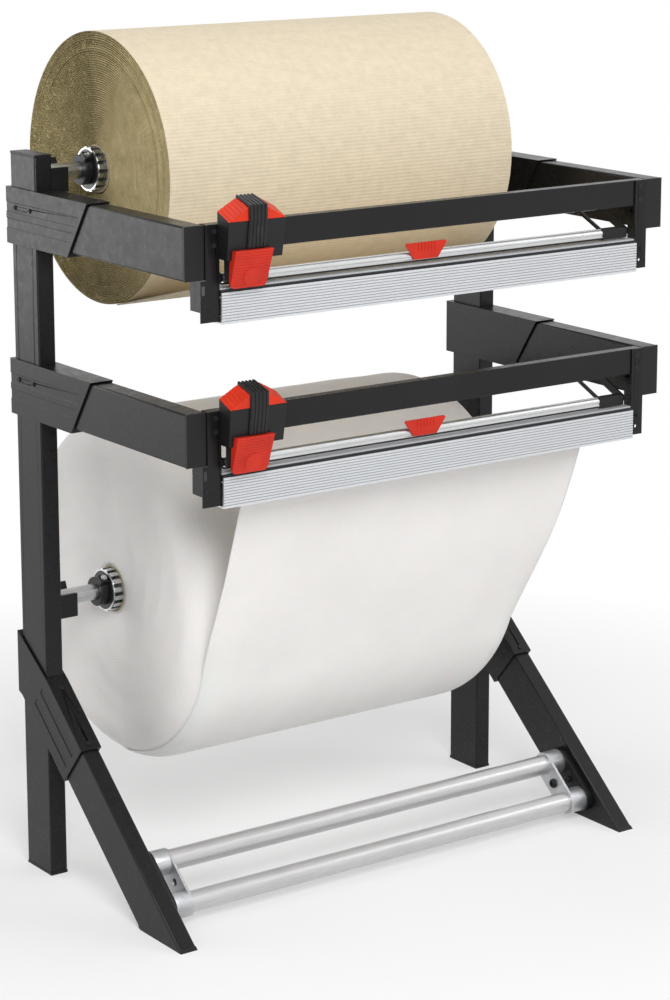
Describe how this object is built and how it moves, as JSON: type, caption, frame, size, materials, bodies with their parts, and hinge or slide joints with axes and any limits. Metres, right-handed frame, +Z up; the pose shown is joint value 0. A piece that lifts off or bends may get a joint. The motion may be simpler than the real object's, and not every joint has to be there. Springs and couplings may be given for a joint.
{
  "type": "gift wrap paper cutter",
  "caption": "Floor stand that holds wide rolls of wrapping material on shafts, each with a hinged press bar and a sliding blade carriage in front.",
  "frame": {"origin": "on the floor, midway across and midway front to back of the whole stand", "axes": "+X to the right as seen from the front, front towards -Y, +Z up"},
  "size_m": [1.0304, 0.8884, 1.5265],
  "materials": {
    "frame_paint": "satin powder coat",
    "black_plastic": "matte",
    "red_plastic": "satin",
    "aluminium": "natural anodised",
    "cast_metal": "cast, satin",
    "tube_steel": "zinc plated",
    "bright_steel": "polished",
    "rubber": "matte",
    "core_board": "matte",
    "corrugated_board": "matte",
    "foam": "soft satin"
  },
  "bodies": {
    "stand": {"left_upright": "frame_paint", "right_upright": "frame_paint", "left_strut": "frame_paint", "right_strut": "frame_paint", "upper_left_arm": "frame_paint", "upper_right_arm": "frame_paint", "lower_left_arm": "frame_paint", "lower_right_arm": "frame_paint", "arm_brackets": "frame_paint", "strut_brackets": "frame_paint", "plugs_and_feet": "black_plastic", "frame_screws": "bright_steel", "cross_tubes": "tube_steel", "tube_clamps": "cast_metal", "roll_cradles": "black_plastic", "upper_guide_beam": "frame_paint", "lower_guide_beam": "frame_paint", "upper_end_plates": "frame_paint", "lower_end_plates": "frame_paint", "upper_cutting_profile": "aluminium", "lower_cutting_profile": "aluminium", "cutting_strips": "black_plastic", "cutter_screws": "bright_steel", "corrugated_web": "corrugated_board", "foam_web": "foam"},
    "upper_roll": {"upper_roll_shaft": "bright_steel", "upper_chuck_hubs": "black_plastic", "upper_chuck_cones": "tube_steel", "upper_roll_core": "core_board", "corrugated_roll": "corrugated_board"},
    "upper_press": {"upper_press_bar": "aluminium", "upper_press_lip": "rubber", "upper_press_arms": "black_plastic", "upper_press_shaft": "bright_steel", "upper_lift_handle": "red_plastic"},
    "upper_carriage": {"upper_carriage_body": "black_plastic", "upper_glide_pads": "black_plastic", "upper_grip_band": "rubber", "upper_blade_cover": "red_plastic"},
    "upper_left_button": {"upper_left_button": "red_plastic"},
    "upper_right_button": {"upper_right_button": "red_plastic"},
    "upper_blade": {"upper_blade": "bright_steel"},
    "lower_roll": {"lower_roll_shaft": "bright_steel", "lower_chuck_hubs": "black_plastic", "lower_chuck_cones": "tube_steel", "lower_roll_core": "core_board", "foam_roll": "foam"},
    "lower_press": {"lower_press_bar": "aluminium", "lower_press_lip": "rubber", "lower_press_arms": "black_plastic", "lower_press_shaft": "bright_steel", "lower_lift_handle": "red_plastic"},
    "lower_carriage": {"lower_carriage_body": "black_plastic", "lower_glide_pads": "black_plastic", "lower_grip_band": "rubber", "lower_blade_cover": "red_plastic"},
    "lower_left_button": {"lower_left_button": "red_plastic"},
    "lower_right_button": {"lower_right_button": "red_plastic"},
    "lower_blade": {"lower_blade": "bright_steel"}
  },
  "joints": [
    {"name": "upper_roll_spin", "type": "hinge", "parent": "stand", "child": "upper_roll", "pos_m": [0, 0.12325, 1.2835], "axis": [1, 0, 0], "continuous": true},
    {"name": "upper_press_lift", "type": "hinge", "parent": "stand", "child": "upper_press", "pos_m": [0, -0.31175, 1.198], "axis": [-1, 0, 0], "range_deg": [0, 14]},
    {"name": "upper_carriage_slide", "type": "slide", "parent": "stand", "child": "upper_carriage", "axis": [1, 0, 0], "range_m": [0, 0.787]},
    {"name": "upper_left_button_press", "type": "slide", "parent": "upper_carriage", "child": "upper_left_button", "axis": [1, 0, 0], "range_m": [0, 0.003], "stiffness_N_per_m": 800},
    {"name": "upper_right_button_press", "type": "slide", "parent": "upper_carriage", "child": "upper_right_button", "axis": [-1, 0, 0], "range_m": [0, 0.003], "stiffness_N_per_m": 800},
    {"name": "upper_blade_spin", "type": "hinge", "parent": "upper_carriage", "child": "upper_blade", "pos_m": [-0.402, -0.40475, 1.169], "axis": [0, 1, 0], "continuous": true},
    {"name": "lower_roll_spin", "type": "hinge", "parent": "stand", "child": "lower_roll", "pos_m": [0, 0.12325, 0.508], "axis": [1, 0, 0], "continuous": true},
    {"name": "lower_press_lift", "type": "hinge", "parent": "stand", "child": "lower_press", "pos_m": [0, -0.31175, 0.89], "axis": [-1, 0, 0], "range_deg": [0, 14]},
    {"name": "lower_carriage_slide", "type": "slide", "parent": "stand", "child": "lower_carriage", "axis": [1, 0, 0], "range_m": [0, 0.787]},
    {"name": "lower_left_button_press", "type": "slide", "parent": "lower_carriage", "child": "lower_left_button", "axis": [1, 0, 0], "range_m": [0, 0.003], "stiffness_N_per_m": 800},
    {"name": "lower_right_button_press", "type": "slide", "parent": "lower_carriage", "child": "lower_right_button", "axis": [-1, 0, 0], "range_m": [0, 0.003], "stiffness_N_per_m": 800},
    {"name": "lower_blade_spin", "type": "hinge", "parent": "lower_carriage", "child": "lower_blade", "pos_m": [-0.402, -0.40475, 0.861], "axis": [0, 1, 0], "continuous": true}
  ],
  "couplings": [
    {"joint": "upper_blade_spin", "follows": "upper_carriage_slide", "rad_per_m": 37.037},
    {"joint": "lower_blade_spin", "follows": "lower_carriage_slide", "rad_per_m": 37.037}
  ]
}
